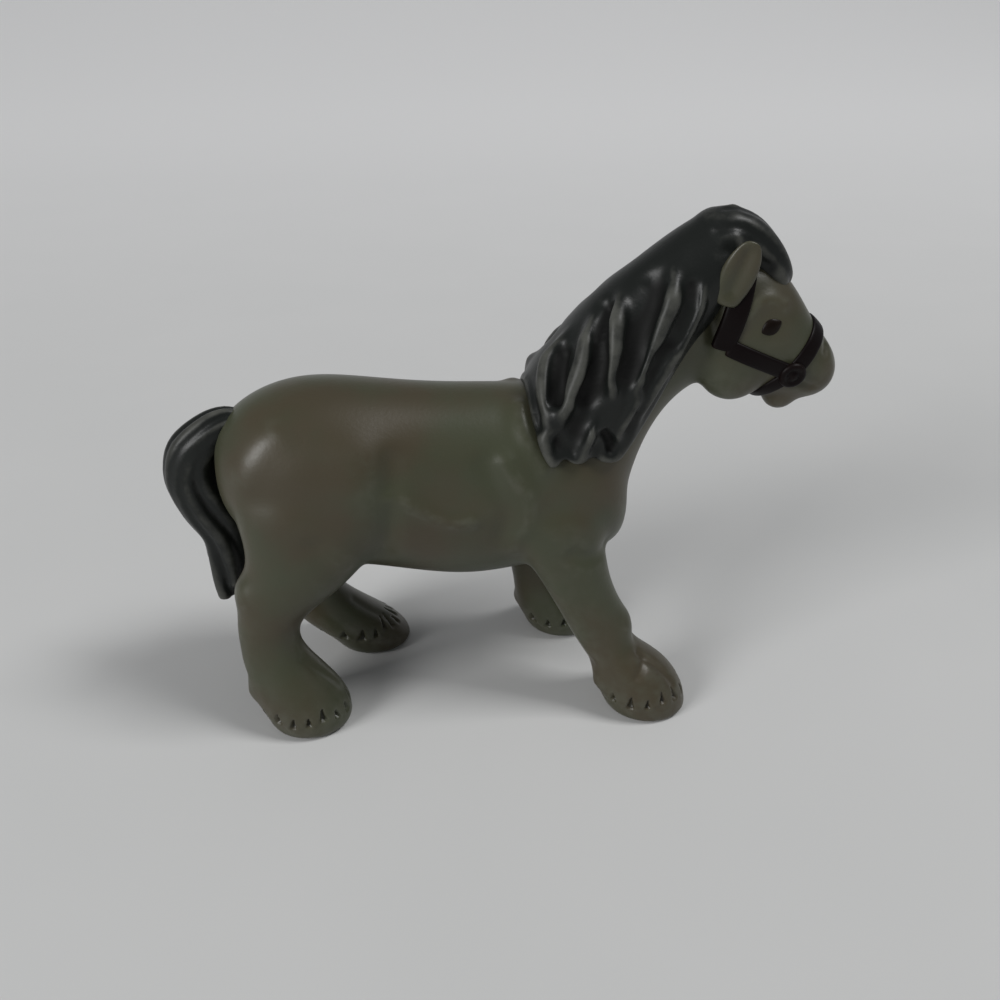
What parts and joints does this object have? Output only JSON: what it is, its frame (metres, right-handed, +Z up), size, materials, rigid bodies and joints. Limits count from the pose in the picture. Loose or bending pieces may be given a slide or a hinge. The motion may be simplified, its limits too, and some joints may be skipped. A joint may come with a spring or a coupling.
{
  "type": "toy pony figure",
  "caption": "Small moulded plastic toy pony in mid stride, with a long wavy mane, forelock, curved tail and halter; stands on four flat hooves.",
  "frame": {"origin": "on the ground plane, under the middle of the figure's bounding box", "axes": "+X towards the nose, +Y towards the pony's left side, +Z up"},
  "size_m": [0.0666, 0.0238, 0.0505],
  "materials": {
    "body": "warm olive-grey moulded plastic with a soft sheen",
    "hair": "dark slate gloss paint on moulded plastic",
    "halter": "dark maroon-brown gloss paint on moulded plastic",
    "eye": "dark brown gloss paint"
  },
  "bodies": {
    "root": {"torso": "body", "right_fore_leg": "body", "left_fore_leg": "body", "right_hind_leg": "body", "left_hind_leg": "body", "neck_and_head": "body", "right_eye": "eye", "left_eye": "eye", "right_ear": "body", "left_ear": "body", "right_halter_ring": "halter", "left_halter_ring": "halter", "halter_noseband": "halter", "halter_chin_strap": "halter", "halter_headpiece": "halter", "right_cheek_strap": "halter", "left_cheek_strap": "halter", "forelock": "hair", "mane": "hair", "tail": "hair"}
  },
  "joints": []
}
